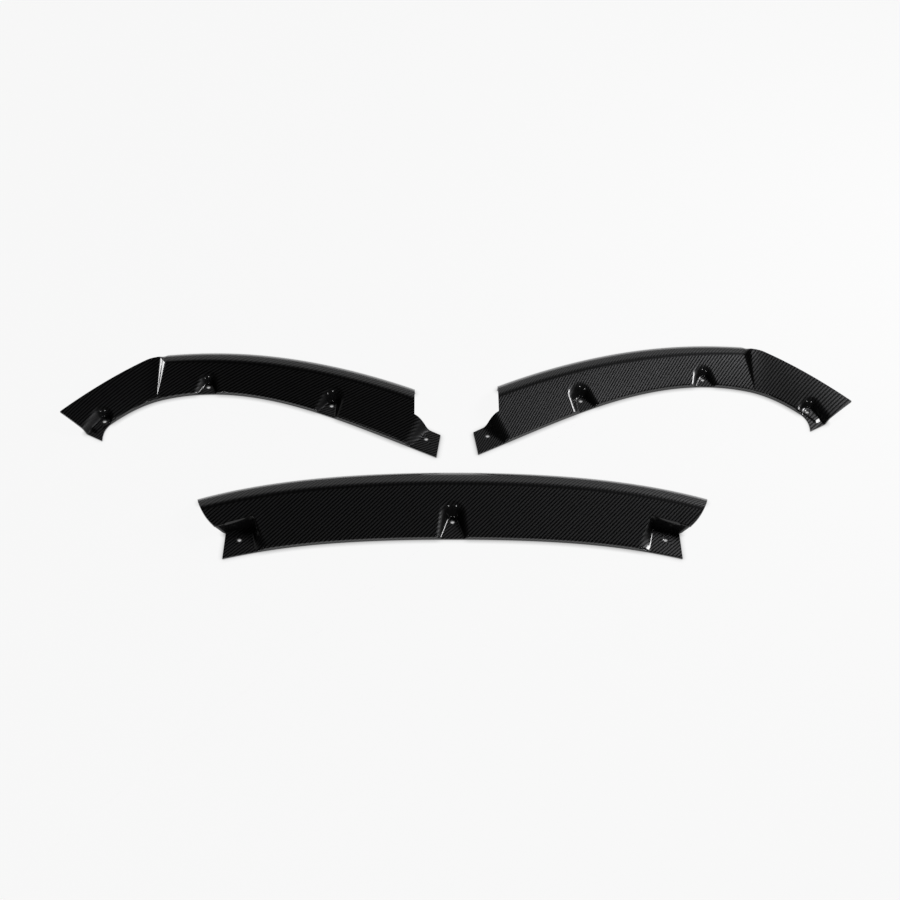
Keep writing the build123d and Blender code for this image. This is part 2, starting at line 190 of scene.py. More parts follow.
def skins(plan, shares, nose, height, holes, weave_of, nose_rows, crease_shading):
    """Outer and inner skin of one section as grids of columns by rows, with thread coordinates.

    Rows run up the rear wall, round its edge, over the plate and down the nose.
    plan(share) gives x and y of a row of the plate, height(x, y, inset) its height, and
    nose(share, inset) the nose's points and its run from the crease.
    A third coordinate paints shade: it dims the weave towards a flat dark tone on steep walls, and in a band
    along the crease by each column's share of that shade.
    """
    ground_x, ground_y = plan(shares)
    rear_x, rear_y = plan(np.zeros(1))
    just_inside = np.full(1, 0.04)
    step_x, step_y = plan(just_inside)
    step = np.maximum(np.hypot(step_x - rear_x, step_y - rear_y), 1e-6)
    in_x, in_y = (step_x - rear_x) / step, (step_y - rear_y) / step

    half = WALL_ROWS // 2
    rise = np.linspace(0, 1, half)
    bend = np.linspace(0, math.pi / 2, half + 1)[1:]
    top_rear = height(rear_x, rear_y, 0)
    bow = np.minimum(EDGE_ROUND, top_rear * EDGE_ROUND_SHARE)
    away = np.concatenate((np.zeros((len(bow), half)), bow * (1 - np.cos(bend))), axis=1)
    wall_z = np.concatenate((rise * (top_rear - bow), top_rear - bow * (1 - np.sin(bend))), axis=1)
    run = np.concatenate((rise - 1, np.zeros(half))) * top_rear
    wall_x, wall_y = rear_x + in_x * away, rear_y + in_y * away

    top_x, top_y = ground_x.copy(), ground_y.copy()
    rings = np.full(ground_x.shape, NO_RING)
    places = [nearest(ground_x, ground_y, hole) for hole in holes]
    for hole, place in zip(holes, places):
        rings = np.minimum(rings, punch(top_x, top_y, hole, place))
    top_z = height(top_x, top_y, 0) - HOLE_CHAMFER * (rings == HOLE_RING)
    nose_x, nose_y, nose_z, nose_run = nose(nose_rows, 0)
    top = np.stack((
        np.concatenate((wall_x, top_x, nose_x), axis=1),
        np.concatenate((wall_y, top_y, nose_y), axis=1),
        np.concatenate((wall_z, top_z, nose_z), axis=1),
    ), axis=-1)

    set_in = np.hypot(ground_x - rear_x, ground_y - rear_y)
    push = WALL * np.maximum(1 - set_in / INNER_EDGE_REACH, 0)
    low_x, low_y = ground_x + in_x * push, ground_y + in_y * push
    for hole, place in zip(holes, places):
        punch(low_x, low_y, hole, place)
    low_z = height(low_x, low_y, WALL)
    foot_x, foot_y = rear_x + in_x * WALL, rear_y + in_y * WALL
    foot_z = np.linspace(0, 1, WALL_ROWS) * height(foot_x, foot_y, WALL)
    deep_x, deep_y, deep_z = nose(nose_rows, WALL)[:3]
    inside = np.stack((
        np.concatenate((np.repeat(foot_x, WALL_ROWS, axis=1), low_x, deep_x), axis=1),
        np.concatenate((np.repeat(foot_y, WALL_ROWS, axis=1), low_y, deep_y), axis=1),
        np.concatenate((foot_z, low_z, deep_z), axis=1),
    ), axis=-1)

    crease_x, crease_y = ground_x[:, -1:], ground_y[:, -1:]
    thread_u, thread_v = weave_of(
        np.concatenate((wall_x, ground_x, np.repeat(crease_x, len(nose_rows), axis=1)), axis=1),
        np.concatenate((wall_y, ground_y, np.repeat(crease_y, len(nose_rows), axis=1)), axis=1),
    )
    extra = np.concatenate((run, np.zeros(ground_x.shape), nose_run), axis=1)
    pad = ((0, 0), (WALL_ROWS, len(nose_rows)))
    steepness = 0
    for axis in (0, 1):
        plan_step = np.hypot(np.gradient(top_x, axis=axis), np.gradient(top_y, axis=axis))
        steepness = steepness + (np.gradient(top_z, axis=axis) / np.maximum(plan_step, 1e-6)) ** 2
    # Painted shade: the steeper the surface, the more its weave is dimmed towards a flat dark tone.
    unshaded = np.pad(np.clip(UNSHADED_FLAT - np.sqrt(steepness) * WALL_SHADE_RATE, 0, 1), pad, constant_values=1)
    past_crease = np.concatenate((-np.hypot(ground_x - crease_x, ground_y - crease_y), nose_run), axis=1)
    # Painted shade: a dark band along the crease, where the plate turns over into the nose.
    crease_band = np.clip((CREASE_SHADE_REACH - np.abs(past_crease - CREASE_SHADE_MIDDLE)) / CREASE_SHADE_FADE, 0, 1)
    unshaded[:, WALL_ROWS:] *= 1 - crease_band * crease_shading[:, None]
    weave = np.stack((thread_u / TOW_WIDTH, (thread_v + extra) / TOW_WIDTH, unshaded), axis=-1)
    solid = np.pad(rings, pad, constant_values=NO_RING) > HOLE_RING
    cells = solid[:-1, :-1] | solid[1:, :-1] | solid[1:, 1:] | solid[:-1, 1:]
    return top, inside, cells, weave


LENGTH = 836.0
DEPTH = 89.0
HEIGHT = 32.0
BOW_SPAN = 400.0
REAR_BOW, REAR_CURL = 27.0, 22.0
CREASE_BOW, CREASE_CURL = 35.0, 14.0
CREST_START, CREST_FALL = 0.84, 0.1
NOSE_RADIUS = 38.0
HOLE_SETBACK = 33.5
POCKET_RADIUS, POCKET_SPREAD = 9.0, 17.5
TAB_HOLE_OUT, TAB_HOLE_IN = 346.0, 30.0
TAB_TURN = -18.0
TURN_SINE, TURN_COSINE = math.sin(math.radians(TAB_TURN)), math.cos(math.radians(TAB_TURN))
TAB_WALL_FOOT, TAB_FOOT_LEAN, TAB_FOOT_ROUND = (326.5, 24.9), math.tan(math.radians(9)), 1.0
TAB_WALL_RIM, TAB_RIM_LEAN, TAB_RIM_ROUND = (323.6, 30.5), math.tan(math.radians(22)), 3.0
TAB_FRONT = 20.0
TAB_FRONT_START, TAB_FRONT_RUN = 285.0, 34.0
TAB_EDGE = 369.0
TAB_FLARE, FLARE_START, FLARE_MOST = 2.0, 330.0, 1.2
WING_ROOT = 386.0
WING_DEPTH = 66.0
WING_HEM = 3.6


def centre_rear(x):
    """Rear edge: a bow of 27 mm and a curl of 22 mm at 400 mm from the middle."""
    bow = (x / BOW_SPAN) ** 2
    return -REAR_BOW * bow - REAR_CURL * bow**2


def centre_crease(x):
    """Crease: 89 mm in front of the rear edge in the middle, with its own bow and curl."""
    bow = (x / BOW_SPAN) ** 2
    return DEPTH - CREASE_BOW * bow - CREASE_CURL * bow**2


TAB_HOLE = (TAB_HOLE_OUT, centre_rear(TAB_HOLE_OUT) + TAB_HOLE_IN)
NOTCH = TAB_HOLE[1] + (TAB_FRONT + (TAB_EDGE - TAB_HOLE[0]) * TURN_SINE) / TURN_COSINE


def wing_end(y):
    """Wing's cut end: an arc that leaves the root and stands square to the front at the tip."""
    run = LENGTH / 2 - WING_ROOT
    radius = (run**2 + WING_DEPTH**2) / (2 * run)
    behind = np.clip(NOTCH + WING_DEPTH - y, 0, WING_DEPTH)
    return LENGTH / 2 - radius + np.sqrt(radius**2 - behind**2)


# Columns lie closest at the pocket and the tabs, rows at the tabs' front walls and the crease.
centre_columns = steps(
    -TAB_EDGE, (-296, 1.2), (-60, 5), (-34, 2), (34, 1.1), (60, 2), (296, 5), (TAB_EDGE, 1.2)
)
wing_columns = steps(0.0, (0.4, 0.05), (1.0, 0.06))[1:]
spine = np.concatenate((-1 - wing_columns[::-1], np.zeros(len(centre_columns)), 1 + wing_columns))
spine[len(wing_columns):-len(wing_columns)] = centre_columns / TAB_EDGE
notch_share = (NOTCH - centre_rear(TAB_EDGE)) / (centre_crease(TAB_EDGE) - centre_rear(TAB_EDGE))
below = np.linspace(0.028, notch_share, 38)
above = notch_share + (1 - notch_share) * steps(0.0, (0.1, 0.0125), (0.8, 0.045), (1.0, 0.02))[1:]
centre_shares = np.concatenate((below, above))


def tab_front(x):
    """Foot line of a tab's front wall, which runs inboard into the row of the notch."""
    line = TAB_HOLE[1] + (TAB_FRONT + (x - TAB_HOLE[0]) * TURN_SINE) / TURN_COSINE
    plain = centre_rear(x) + notch_share * (centre_crease(x) - centre_rear(x))
    near = np.clip((x - TAB_FRONT_START) / TAB_FRONT_RUN, 0, 1)
    return plain + (line - plain) * eased(near)


def centre_plan(shares):
    """Plan of the plate's rows at a fixed x: from the rear edge to the tab's front wall, then to the crease.

    Past the tabs a column runs from the notch to the crease, its x a share of the way to the wing's end,
    which is settled by putting the row's y into the end's arc a few times over.
    """
    side = np.sign(spine)[:, None]
    out = np.clip(np.abs(spine) - 1, 0, None)[:, None]
    base = np.minimum(np.abs(spine), 1)[:, None] * TAB_EDGE
    share = np.broadcast_to(shares, (len(spine), len(shares)))
    past = np.clip((share - notch_share) / (1 - notch_share), 0, 1)
    x = base + out * (WING_ROOT - TAB_EDGE)
    for settling in range(SETTLINGS):
        wing = NOTCH + past * (centre_crease(x) - NOTCH)
        behind = centre_rear(x) + share / notch_share * (tab_front(x) - centre_rear(x))
        ahead = tab_front(x) + past * (centre_crease(x) - tab_front(x))
        y = np.where(out > 0, wing, np.where(share < notch_share, behind, ahead))
        x = np.where(out > 0, TAB_EDGE + out * (wing_end(y) - TAB_EDGE), base)
    flare = TAB_FLARE * np.clip((NOTCH - y) / (NOTCH - TAB_HOLE[1] + TAB_HOLE_IN), 0, FLARE_MOST)
    x = x + np.where(out > 0, 0, flare * np.clip((base - FLARE_START) / (TAB_EDGE - FLARE_START), 0, 1))
    return side * x, y


def crest(share):
    """Fall of the plate below a straight ramp as it eases over into the crease, per unit of its depth."""
    return CREST_FALL * np.maximum(share - CREST_START, 0) ** 2


def centre_height(x, y, inset):
    """Plate's height, sunk to the floor in the pocket and the tabs; inset gives the inner skin.

    A tab's inboard wall is ruled from its foot line to its rim line, steep in front and a ramp at the rear.
    """
    side = np.abs(x)
    share = (y - centre_rear(side)) / (centre_crease(side) - centre_rear(side))
    slope = np.arctan2(HEIGHT - EDGE_HEIGHT, centre_crease(side) - centre_rear(side))
    plate = EDGE_HEIGHT + (HEIGHT - EDGE_HEIGHT) * share - inset / np.cos(slope)
    plate = plate - crest(share) * (centre_crease(side) - centre_rear(side))
    floor = WALL - inset
    grow = wall_growth(POCKET_DRAFT) * (inset > 0)
    away = horseshoe(x, y, (0, HOLE_SETBACK), 0, POCKET_RADIUS, POCKET_SPREAD) - grow
    z = soft_least(plate, drafted_wall(away, POCKET_DRAFT, floor, FOOT_ROUND), RIM_ROUND)
    along = turned(side, y, TAB_HOLE, TAB_TURN)[1]
    grow = wall_growth(TAB_DRAFT) * (inset > 0)
    front = drafted_wall(along - TAB_FRONT - grow, TAB_DRAFT, floor, FOOT_ROUND)
    foot = TAB_WALL_FOOT[0] - TAB_FOOT_LEAN * (TAB_WALL_FOOT[1] - y) - grow
    rim = TAB_WALL_RIM[0] - TAB_RIM_LEAN * (TAB_WALL_RIM[1] - y) - grow
    climb = (foot - side) / np.maximum(foot - rim, 1.0)
    inboard = -soft_least(np.full_like(z, -floor), -floor - climb * (plate - floor), TAB_FOOT_ROUND)
    return np.maximum(soft_least(z, np.maximum(front, inboard), TAB_RIM_ROUND), floor)


def rolled_nose(rear, crease, height, radius, share, inset):
    """Nose arc from the crease down to the ground: y and z by the angle from the vertical."""
    slope = np.arctan2(height - EDGE_HEIGHT, crease - rear)
    start = CREASE_TURN - slope
    middle_y, middle_z = crease - radius * np.sin(start), height - radius * np.cos(start)
    arc = radius - inset
    first = np.arccos((radius * math.cos(CREASE_TURN) - inset) / arc) - slope
    last = np.arccos(np.clip(-middle_z / arc, -1, 1))
    angle = first + share * (last - first)
    return middle_y + arc * np.sin(angle), middle_z + arc * np.cos(angle), radius * (angle - first)


def centre_nose(share, inset):
    """The centre's nose; past the tabs its columns lean with the wing's end."""
    side = np.sign(spine)[:, None]
    out = np.clip(np.abs(spine) - 1, 0, None)[:, None]
    base = np.minimum(np.abs(spine), 1)[:, None] * TAB_EDGE
    x = np.broadcast_to(base, (len(spine), len(share)))
    for settling in range(SETTLINGS):
        y, z, run = rolled_nose(centre_rear(x), centre_crease(x), HEIGHT, NOSE_RADIUS, share[None, :], inset)
        x = np.where(out > 0, TAB_EDGE + out * (wing_end(y) - TAB_EDGE), base)
    z = z - crest(1.0) * (centre_crease(x) - centre_rear(x)) * (1 - share) ** 2
    return side * x, y, z, run


def centre_weave(x, y):
    """Cloth laid square to the car, longer up the slope of the plate than in plan."""
    return x, y * SLOPE_STRETCH


nose_rows = np.linspace(0, 1, 25)[1:]
top, inside, cells, weave = skins(
    centre_plan, centre_shares, centre_nose, centre_height,
    [(0, HOLE_SETBACK), TAB_HOLE, (-TAB_HOLE[0], TAB_HOLE[1])],
    centre_weave, nose_rows, np.ones(len(spine)),
)
notch_row = WALL_ROWS + len(below) - 1
cells[:len(wing_columns), :notch_row] = False
cells[-len(wing_columns):, :notch_row] = False
for wing in (slice(None, len(wing_columns)), slice(-len(wing_columns), None)):
    hem = (wing, slice(notch_row, notch_row + 3), 2)
    inside[hem] = np.maximum(inside[hem], top[hem] - WING_HEM)
points, faces, threads = shell_mesh(top, inside, cells, weave)
points[:, 1] -= HOLE_SETBACK
centre = place_shell("lip_centre", points, faces, threads)

# Clear-coated twill
# Carbon tows about 2 mm wide woven two over, two under, set in resin under a polished clear coat.
# Each tow is a flat bundle of graphite fibres that shines across its length, so that warp and weft
# differ in tone.
CROWN_DROP, FLOAT_DROP = 0.55, 0.6
SQUARE_SHARE, DIAGONAL_SHARE = 0.35, 0.65
# Tone share where the weave's shade is fully painted in.
SHADED_SHARE = 0.15
DARK_TONE, TONE_RANGE = 0.006, 0.08
# Painted shade in the tows' hollows and painted highlight on their crowns, as shares of the tone.
HOLLOW_SHADE, CROWN_HIGHLIGHT = 0.75, 0.25
BLUE_CAST = 1.03
twill = bpy.data.materials.new("clear_coated_twill")
twill.use_nodes = True
nodes, links = twill.node_tree.nodes, twill.node_tree.links
shader = nodes["Principled BSDF"]


def sum_of(operation, first, second=None):
    """One math node; each input is a number or another node's output."""
    node = nodes.new("ShaderNodeMath")
    node.operation = operation
    for socket, value in zip(node.inputs, (first, second)):
        if value is None:
            continue
        if isinstance(value, (int, float)):
            socket.default_value = value
        else:
            links.new(value, socket)
    return node.outputs[0]


thread_map = nodes.new("ShaderNodeUVMap")
thread_map.uv_map = "threads"
split = nodes.new("ShaderNodeSeparateXYZ")
links.new(thread_map.outputs["UV"], split.inputs[0])
warp_place, weft_place = split.outputs["X"], split.outputs["Y"]
warp_number, weft_number = sum_of("FLOOR", warp_place), sum_of("FLOOR", weft_place)
warp_across, weft_across = sum_of("FRACT", warp_place), sum_of("FRACT", weft_place)
order = sum_of("FLOORED_MODULO", sum_of("SUBTRACT", warp_number, weft_number), 4.0)
warp_on_top = sum_of("LESS_THAN", order, 1.5)


def choose(warp, weft):
    """Warp's value where the warp lies on top, otherwise the weft's."""
    return sum_of("ADD", sum_of("MULTIPLY", warp, warp_on_top),
                  sum_of("MULTIPLY", weft, sum_of("SUBTRACT", 1.0, warp_on_top)))


from_edge = sum_of("ABSOLUTE", sum_of("SUBTRACT", choose(warp_across, weft_across), 0.5))
along = choose(sum_of("ADD", sum_of("SUBTRACT", 1.0, order), weft_across),
               sum_of("ADD", sum_of("SUBTRACT", order, 2.0), warp_across))
from_middle = sum_of("ABSOLUTE", sum_of("SUBTRACT", along, 1.0))
fall_off = sum_of("POWER", sum_of("MULTIPLY", from_edge, 2.0), 3.0)
crown = sum_of("SUBTRACT", 1.0, sum_of("MULTIPLY", fall_off, CROWN_DROP))
float_bow = sum_of("SUBTRACT", 1.0, sum_of("MULTIPLY", sum_of("POWER", from_middle, 2.0), FLOAT_DROP))
tow_height = sum_of("MULTIPLY", crown, float_bow)

off_line = sum_of("SUBTRACT", sum_of("SUBTRACT", warp_place, weft_place), 0.5)
wave = sum_of("COSINE", sum_of("MULTIPLY", off_line, math.pi / 2))
diagonal = sum_of("ADD", 0.5, sum_of("MULTIPLY", wave, 0.5))
square = sum_of("MULTIPLY", warp_on_top, SQUARE_SHARE)
slanted = sum_of("MULTIPLY", diagonal, DIAGONAL_SHARE)
warp_share = sum_of("ADD", square, slanted)
# Painted shade: where the shells' point attribute falls below 1, on steep walls, along the crease and on the
# blades, the tone sinks towards a flat dark level and the twill fades.
shade_reader = nodes.new("ShaderNodeAttribute")
shade_reader.attribute_name = "unshaded"
above_shaded = sum_of("MULTIPLY", sum_of("SUBTRACT", warp_share, SHADED_SHARE), shade_reader.outputs["Fac"])
tone = sum_of("ADD", DARK_TONE, sum_of("MULTIPLY", sum_of("ADD", SHADED_SHARE, above_shaded), TONE_RANGE))
shade = nodes.new("ShaderNodeCombineColor")
# Painted highlight and shade: the tone is scaled by 0.75 plus a quarter of the tow's height, lighter on the
# crowns, darker in the hollows.
lit = sum_of("MULTIPLY", tone, sum_of("ADD", HOLLOW_SHADE, sum_of("MULTIPLY", tow_height, CROWN_HIGHLIGHT)))
links.new(lit, shade.inputs[0])
links.new(lit, shade.inputs[1])
links.new(sum_of("MULTIPLY", lit, BLUE_CAST), shade.inputs[2])
links.new(shade.outputs[0], shader.inputs["Base Color"])
bump = nodes.new("ShaderNodeBump")
bump.inputs["Strength"].default_value = 0.08
bump.inputs["Distance"].default_value = 0.0002
links.new(tow_height, bump.inputs["Height"])
links.new(bump.outputs[0], shader.inputs["Normal"])
shader.inputs["Metallic"].default_value = 1.0
shader.inputs["Roughness"].default_value = 0.5
shader.inputs["IOR"].default_value = 1.5
shader.inputs["Coat Weight"].default_value = 1.0
shader.inputs["Coat Roughness"].default_value = 0.08
shader.inputs["Coat IOR"].default_value = 1.45

centre.data.materials.append(twill)
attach(centre, "root")
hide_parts("centre_section")

# Side sections
# Two handed shells of the same laminate that carry the lip round the bumper's corners.
# Each has a screw tab at its inner end, two pockets, a riser, and an end blade with a third pocket and an
# ear, and is screwed to the bumper through the tab and the pockets.
NOSE_LENGTH = 430.0
RISER_FOOT = 428.0
BLADE_START = 441.0
BLADE_TIP = 599.0
REAR_CURVE = (0.0, 71.3, 149.4, 107.1)
REAR_CURL_IN = 0.004
CREASE_CURVE = (80.0, 149.9, 178.2, 172.5)
SIDE_HEIGHT, SIDE_DROP = 32.0, 9.8
SIDE_NOSE_RADIUS, SIDE_NOSE_NARROWING = 38.0, 8.0
RISER_LEAST = 0.8
BLADE_HEIGHT, BLADE_DROP = 32.0, 8.0
BLADE_SHOULDER, SHOULDER_FALL, SHOULDER_ROUND = (456.0, 175.3), 0.18, 3.0
BLADE_FALL, BLADE_BEND = 0.59, 0.00134
BLADE_LEAN = math.radians(15)
BLADE_BULGE = 1.5
BLADE_ROUND, BLADE_INNER_ROUND = 1.5, 0.4
BLADE_ROUND_ROWS, BLADE_ROUND_TURN = 0.4, 1.5
BLADE_TAPER = 566.0
BLADE_TIP_FOOT, BLADE_LEAST_FACE = 20.0, 0.4
# Painted shade: the share of the weave's tone and contrast left on the blade.
BLADE_UNSHADED = 0.7
EAR_TIP = (526.0, 17.0)
EAR_MIDDLE = (523.2, 40.1)
EAR_ROOT = 511.0
EAR_START, EAR_EDGE = EAR_ROOT - 4, 1.5
EAR_STEP_START, EAR_STEP, EAR_STEP_RUN = EAR_ROOT - 6, 1.7, 2.2
EAR_STEP_INNER, EAR_STEP_OUTER = (525.7, 49.4, -1.106), (537.0, 36.9, 0.586)
EAR_STEP_HIGHEST, EAR_STEP_FADE = 1.6, 1.2
END_CORNER = (565.0, 38.0)
SHOULDER = 56.0
TAB_FOOT = (-23.0, 39.5)
TAB_CORNER = (-44.0, 28.0)
TAB_REAR = (-36.5, -24.0)
TAB_FOOT_TURN = -49.5
TAB_FIRST_REACH = 40.0
TAB_RAMP_DRAFT, TAB_RAMP_FOOT, TAB_RAMP_RIM = 35.0, 8.0, 14.0

# Screw holes from the inner end outwards; turn, foot radius and spread of the pockets round the last three.
SIDE_HOLES = [(-20.0, 20.0), (142.0, 92.0), (355.0, 133.5), (526.0, 58.0)]
SIDE_POCKETS = ((23.0, 8.5, 18.5), (4.0, 7.0, 26.0), (13.0, 9.0, 18.0))

# Slope and rise of the bow that each side's cloth follows, as terms in rising powers of x; how far the
# right side's other set of tows leans, and the stretch over which the length along its bow is added up.
LEFT_SLOPE, LEFT_RISE = (0.31, 0.000176, -1.663e-6), (0.31, 0.000088, -0.554e-6)
RIGHT_SLOPE, RIGHT_RISE = (0.495, 0.000442, -3.112e-6), (0.495, 0.000221, -1.037e-6)
RIGHT_LEAN = 0.08
RIGHT_STRETCH = (-60.0, 640.0)


def cubic(ordinates, share):
    """Bernstein cubic through the first and last of four ordinates."""
    a, b, c, d = ordinates
    rest = 1 - share
    return a * rest**3 + 3 * b * share * rest**2 + 3 * c * share**2 * rest + d * share**3


def side_rear(x):
    """Rear arch: a cubic along the nose part, then a parabola that leaves it in line and curls inwards."""
    past = x - NOSE_LENGTH
    slope = 3 * (REAR_CURVE[3] - REAR_CURVE[2]) / NOSE_LENGTH
    arch = REAR_CURVE[3] + slope * past - REAR_CURL_IN * past**2
    return np.where(past < 0, cubic(REAR_CURVE, x / NOSE_LENGTH), arch)


def blade_front(x):
    """Blade's front edge: a short, nearly level shoulder, then an arch that falls away faster to the tip."""
    past = x - BLADE_SHOULDER[0]
    shoulder = BLADE_SHOULDER[1] - SHOULDER_FALL * past
    arch = BLADE_SHOULDER[1] - BLADE_FALL * past - BLADE_BEND * past**2
    return soft_least(shoulder, arch, SHOULDER_ROUND)


def blade_rise(x):
    """Height of the blade's front edge: 32 mm by the riser, 24 mm at the tip."""
    return BLADE_HEIGHT - BLADE_DROP * (x - BLADE_START) / (BLADE_TIP - BLADE_START)


def nose_rise(x):
    """Height of the nose part's crease: 32 mm at the inner end, 22.2 mm at the riser."""
    return SIDE_HEIGHT - SIDE_DROP * np.minimum(x / NOSE_LENGTH, 1)


def riser_share(x, across):
    """0 on the nose part, 1 on the blade; the riser between them narrows from the crease to the rear edge."""
    run = np.maximum((BLADE_START - RISER_FOOT) * across, RISER_LEAST)
    return eased(np.clip(1 - (BLADE_START - x) / run, 0, 1))


def side_front(x):
    """Upper end of the plate: the nose part's crease, past the riser just short of the blade's front edge."""
    nose = cubic(CREASE_CURVE, np.minimum(x / NOSE_LENGTH, 1))
    return nose + (blade_front(np.maximum(x, BLADE_START)) - BLADE_ROUND - nose) * riser_share(x, 1.0)


# Columns lie closest at the pockets, the riser and the ear; rows are nearly even from rear edge to crease.
tab_columns = np.linspace(-1, 0, 32)[:-1]
plain_columns = steps(
    0.0, (24, 1.4), (104, 5), (182, 1.1), (320, 5), (392, 1.1), (424, 4), (BLADE_START, 0.8)
)
blade_columns = steps(0.0, (0.02, 0.01), (0.3, 0.035), (0.84, 0.0085), (1.0, 0.014))[1:]
run_along = np.concatenate((tab_columns, plain_columns, blade_columns))
is_tab = np.arange(len(run_along)) < len(tab_columns)
is_blade = np.arange(len(run_along)) >= len(tab_columns) + len(plain_columns)
shoulder_share = SHOULDER / CREASE_CURVE[0]
lower = np.linspace(0.03, shoulder_share, 42)
upper = np.linspace(shoulder_share, 1.0, 18)[1:]
side_shares = np.concatenate((lower, upper))


def blade_outline(c):
    """Rear outline of the blade for a share c of its columns: the rear arch, then the ear's hollow arc."""
    turn_in = 0.72
    x = BLADE_START + np.minimum(c / turn_in, 1) * (EAR_ROOT - BLADE_START)
    u = np.clip((c - turn_in) / (1 - turn_in), 0, 1)
    root_y = side_rear(np.float64(EAR_ROOT))
    bend_x = 2 * EAR_MIDDLE[0] - (EAR_ROOT + EAR_TIP[0]) / 2
    bend_y = 2 * EAR_MIDDLE[1] - (root_y + EAR_TIP[1]) / 2
    ear_x = EAR_ROOT * (1 - u) ** 2 + 2 * bend_x * u * (1 - u) + EAR_TIP[0] * u**2
    ear_y = root_y * (1 - u) ** 2 + 2 * bend_y * u * (1 - u) + EAR_TIP[1] * u**2
    return np.where(u > 0, ear_x, x), np.where(u > 0, ear_y, side_rear(x))


def side_plan(shares):
    """Plan of the side section's rows.

    Tab: columns are shares of the way to its slanted edge, rows shares of the way to its upper edge.
    Nose part and riser: rows run from rear edge to crease at a fixed x.
    Blade: rows run straight from rear outline to front edge, and the last columns bend to the end corner.
    """
    along = run_along[:, None]
    share = np.broadcast_to(shares, (len(run_along), len(shares)))
    fixed = np.where(is_blade[:, None] | is_tab[:, None], 0, along)
    x = np.broadcast_to(fixed, share.shape)
    y = side_rear(x) + share * (side_front(x) - side_rear(x))

    tab_share = np.clip(share / shoulder_share, 0, 1)
    tab_x = np.broadcast_to(along * TAB_FIRST_REACH, share.shape)
    for settling in range(SETTLINGS):
        edge = np.interp(tab_x, (TAB_CORNER[0], TAB_FOOT[0], 0), (TAB_CORNER[1], TAB_FOOT[1], SHOULDER))
        tab_y = side_rear(tab_x) + tab_share * (edge - side_rear(tab_x))
        down = (TAB_CORNER[1] - tab_y) / (TAB_CORNER[1] - TAB_REAR[1])
        reach = TAB_CORNER[0] + (TAB_REAR[0] - TAB_CORNER[0]) * down
        tab_x = along * -reach
    x, y = np.where(is_tab[:, None], tab_x, x), np.where(is_tab[:, None], tab_y, y)

    c = np.clip(along, 0, 1)
    low_x, low_y = blade_outline(c)
    high_x = BLADE_START + c * (BLADE_TIP - BLADE_START)
    high_y = side_front(high_x)
    corner_share = (END_CORNER[0] - EAR_TIP[0]) / (BLADE_TIP - EAR_TIP[0])
    drop = END_CORNER[1] - (EAR_TIP[1] + corner_share * (side_front(np.float64(BLADE_TIP)) - EAR_TIP[1]))
    tent = np.minimum(share / corner_share, (1 - share) / (1 - corner_share))
    blade_x = low_x + share * (high_x - low_x)
    blade_y = low_y + share * (high_y - low_y) + c**3 * tent * drop
    return np.where(is_blade[:, None], blade_x, x), np.where(is_blade[:, None], blade_y, y)


def side_height(x, y, inset):
    """Plate's height, sunk to the floor in the pockets and on the tab; flat behind the blade, on the ear.

    Nose part's and blade's plates are both ruled from the rear edge; the riser goes from one to the other.
    The ear lies a step below the end pocket's floor, along two lines that meet behind the hole.
    """
    rear, floor = side_rear(x), WALL - inset
    crease = cubic(CREASE_CURVE, np.minimum(x / NOSE_LENGTH, 1))
    front = blade_front(np.maximum(x, RISER_FOOT))
    low, high = nose_rise(x) - EDGE_HEIGHT, blade_rise(np.maximum(x, RISER_FOOT)) - EDGE_HEIGHT
    across = np.clip((y - rear) / (side_front(x) - rear), 0, 1)
    mix = riser_share(x, across)
    pitch = low / (crease - rear) * (1 - mix) + high / (front - rear) * mix
    plate = EDGE_HEIGHT + pitch * (y - rear) - inset * np.sqrt(1 + pitch**2)
    plate = plate - crest(across) * (crease - rear) * (1 - mix)
    ahead_of_ear = np.clip((y - rear) / EAR_EDGE + 0.5, 0, 1)
    plate = np.where(x > EAR_START, floor + (np.maximum(plate, floor) - floor) * ahead_of_ear, plate)
    z = np.maximum(plate, floor)
    for hole, (turn, radius, spread) in zip(SIDE_HOLES[1:], SIDE_POCKETS):
        away = horseshoe(x, y, hole, turn, radius, spread) - wall_growth(POCKET_DRAFT) * (inset > 0)
        z = soft_least(z, drafted_wall(away, POCKET_DRAFT, floor, FOOT_ROUND), RIM_ROUND)
    ahead = turned(x, y, TAB_FOOT, TAB_FOOT_TURN)[1] - wall_growth(TAB_RAMP_DRAFT) * (inset > 0)
    ramp = drafted_wall(ahead, TAB_RAMP_DRAFT, floor, TAB_RAMP_FOOT)
    z = np.maximum(soft_least(z, ramp, TAB_RAMP_RIM), floor)
    inner, outer = (at_y + fall * (x - at_x) for at_x, at_y, fall in (EAR_STEP_INNER, EAR_STEP_OUTER))
    behind_step = eased(np.clip((np.maximum(inner, outer) - y) / EAR_STEP_RUN, 0, 1))
    near_floor = np.clip((floor + EAR_STEP_HIGHEST - z) / EAR_STEP_FADE, 0, 1)
    return z - EAR_STEP * behind_step * near_floor * (x > EAR_STEP_START) * (inset == 0)


